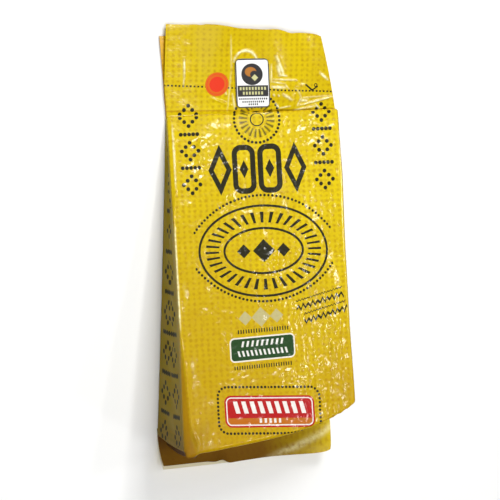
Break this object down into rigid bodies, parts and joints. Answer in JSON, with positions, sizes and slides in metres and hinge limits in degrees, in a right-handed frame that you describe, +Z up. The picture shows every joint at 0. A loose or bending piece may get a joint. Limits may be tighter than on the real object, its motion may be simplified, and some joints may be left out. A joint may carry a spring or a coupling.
{
  "type": "shut film pack with a wedge of hard cheese",
  "caption": "Wedge of hard cheese shut in a glossy yellow film bag with an empty top flap, a curled seal flap and a small paper label, lying on its back panel.",
  "frame": {"origin": "middle of the underside of the whole pack's box, on the surface it lies on", "axes": "+X across the pack, to the right when the front is read with the thin end at the top; +Y along the pack, from the rind end to the empty top flap; +Z up, out of the printed front"},
  "size_m": [0.1228, 0.2888, 0.0595],
  "materials": {
    "film": "glossy printed yellow plastic film, drawn tight and finely wrinkled over the cheese",
    "label": "coated white paper with a dark outline"
  },
  "bodies": {
    "root": {"pack": "film", "seal_label": "label"}
  },
  "joints": []
}
